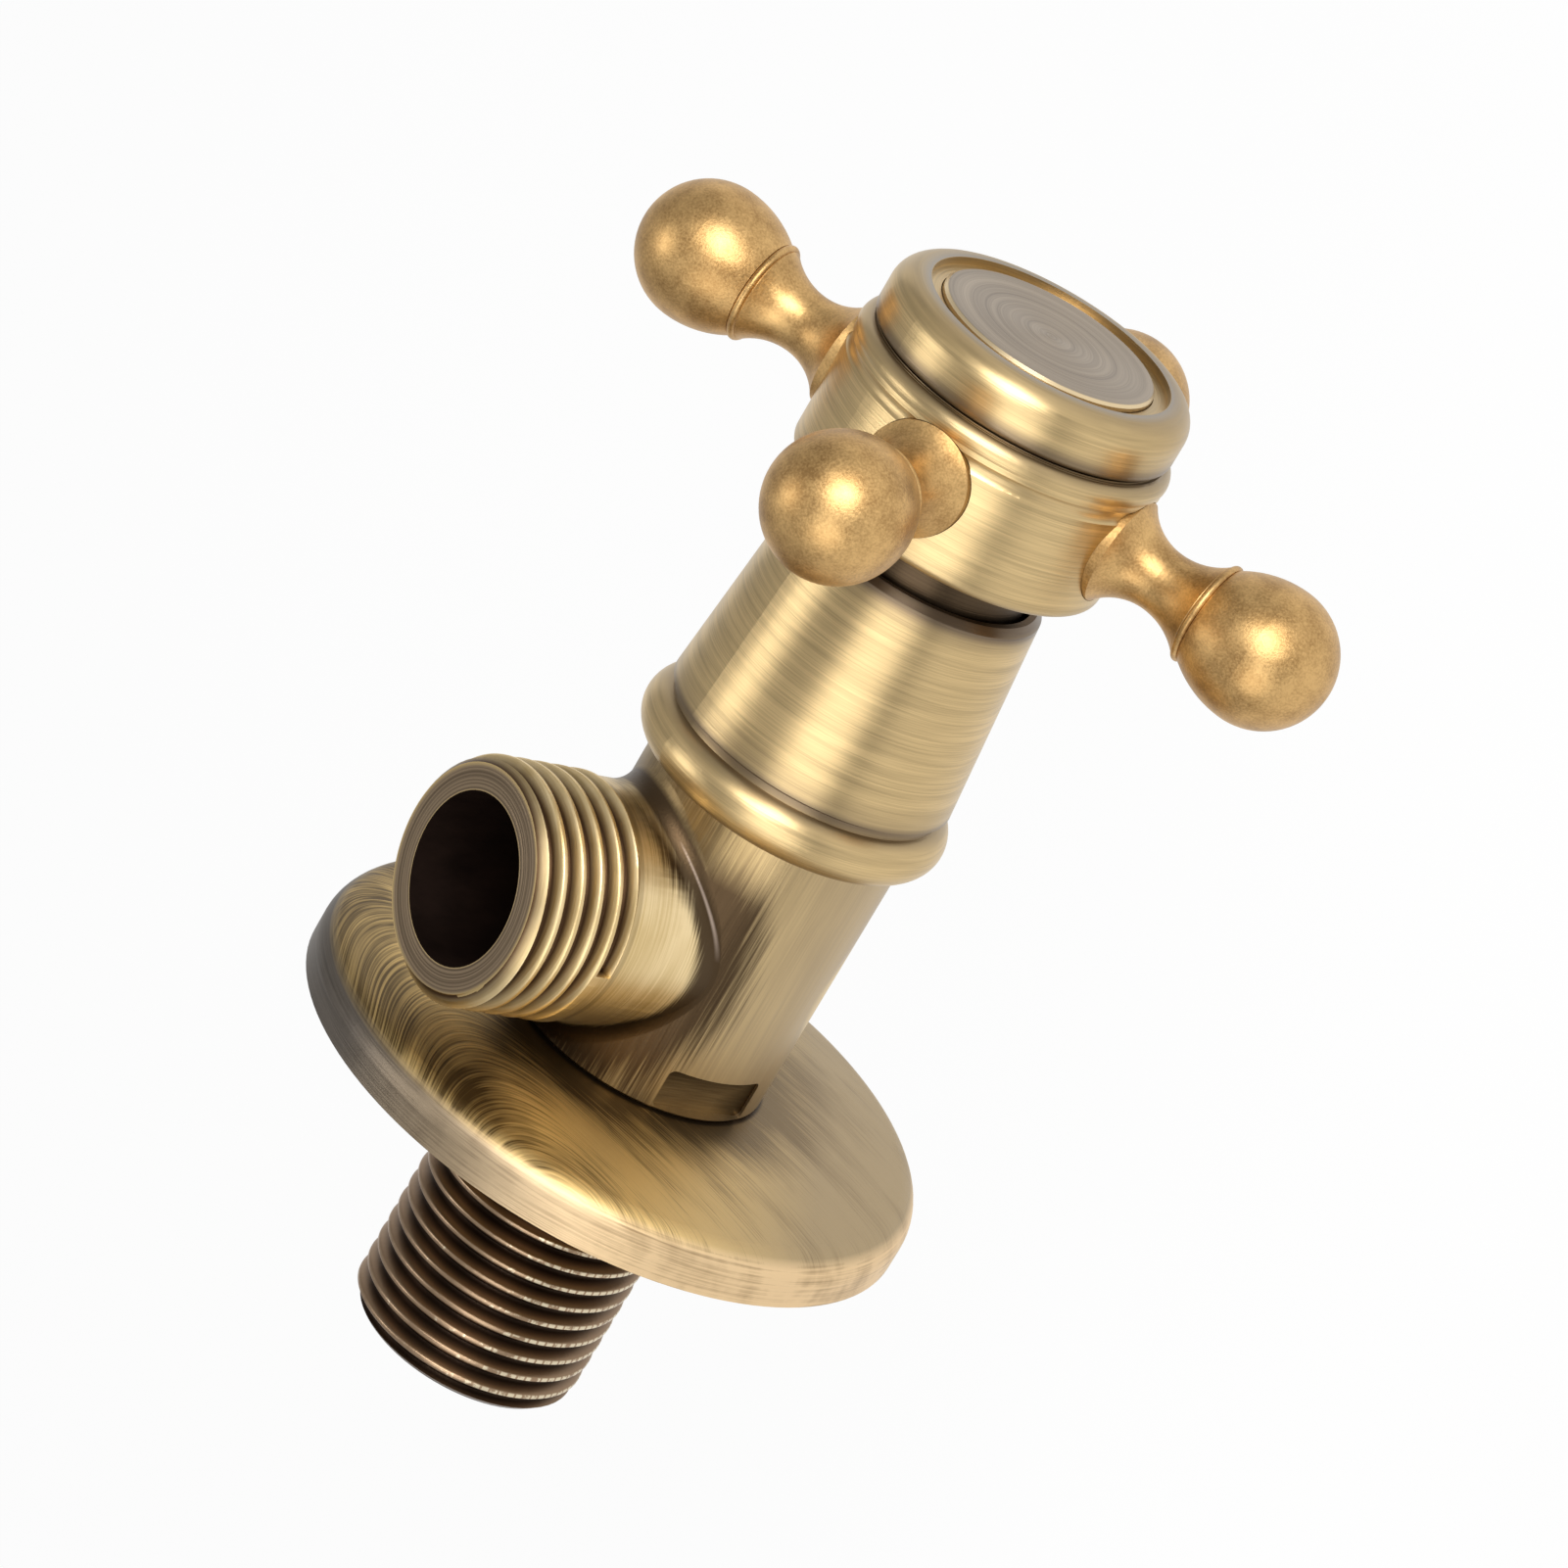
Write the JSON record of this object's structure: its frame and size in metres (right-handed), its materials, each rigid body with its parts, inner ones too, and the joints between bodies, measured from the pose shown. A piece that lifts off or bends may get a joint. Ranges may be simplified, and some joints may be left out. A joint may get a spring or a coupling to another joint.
{
  "type": "angle valve",
  "caption": "Antique brass angle valve: threaded wall inlet with a slip-on escutcheon, threaded side outlet, tapered bonnet and a cross handle with ball ends.",
  "frame": {"origin": "on the axis of the inlet thread, in the plane of the wall (the back rim of the escutcheon)", "axes": "+Y along the inlet tail into the wall, so the handle faces -Y; +Z out of the outlet; +X to the right seen from the front"},
  "size_m": [0.0602, 0.1037, 0.0602],
  "materials": {
    "body_brass": "antique brushed, brushed along the barrel",
    "turned_brass": "antique brushed, fine turned lines",
    "flange_brass": "antique brushed with darker mottling",
    "index_brass": "greyed, concentric turned lines",
    "arm_brass": "satin, slightly mottled",
    "plain_brass": "machined",
    "black_rubber": "matt",
    "ceramic": "lapped white ceramic, opaque",
    "low_friction_plastic": "satin",
    "steel": "plain"
  },
  "bodies": {
    "valve": {"valve_body": "body_brass", "bonnet_shroud": "turned_brass", "cartridge_housing": "plain_brass", "housing_gasket": "black_rubber", "seat_seal": "black_rubber", "fixed_ceramic_disc": "ceramic", "thrust_washer": "low_friction_plastic"},
    "handle": {"moving_ceramic_disc": "ceramic", "spindle": "plain_brass", "spindle_o_ring_lower": "black_rubber", "spindle_o_ring_upper": "black_rubber", "spindle_clip": "steel", "spline_insert": "plain_brass", "handle_hub": "turned_brass", "handle_arm_1": "arm_brass", "handle_arm_2": "arm_brass", "handle_arm_3": "arm_brass", "handle_arm_4": "arm_brass", "screw_washer": "steel", "handle_screw": "steel", "handle_cap": "turned_brass", "index_disc": "index_brass"},
    "grip_ring": {"escutcheon_grip_ring": "black_rubber"},
    "flange": {"escutcheon": "flange_brass"}
  },
  "joints": [
    {"name": "handle_turn", "type": "hinge", "parent": "valve", "child": "handle", "pos_m": [0, -0.0658, 0], "axis": [0, -1, 0], "range_deg": [0, 90]},
    {"name": "flange_slide", "type": "slide", "parent": "valve", "child": "grip_ring", "axis": [0, 1, 0], "range_m": [0, 0.015]},
    {"name": "flange_spin", "type": "hinge", "parent": "grip_ring", "child": "flange", "pos_m": [0, -0.004, 0], "axis": [0, 1, 0], "continuous": true}
  ]
}
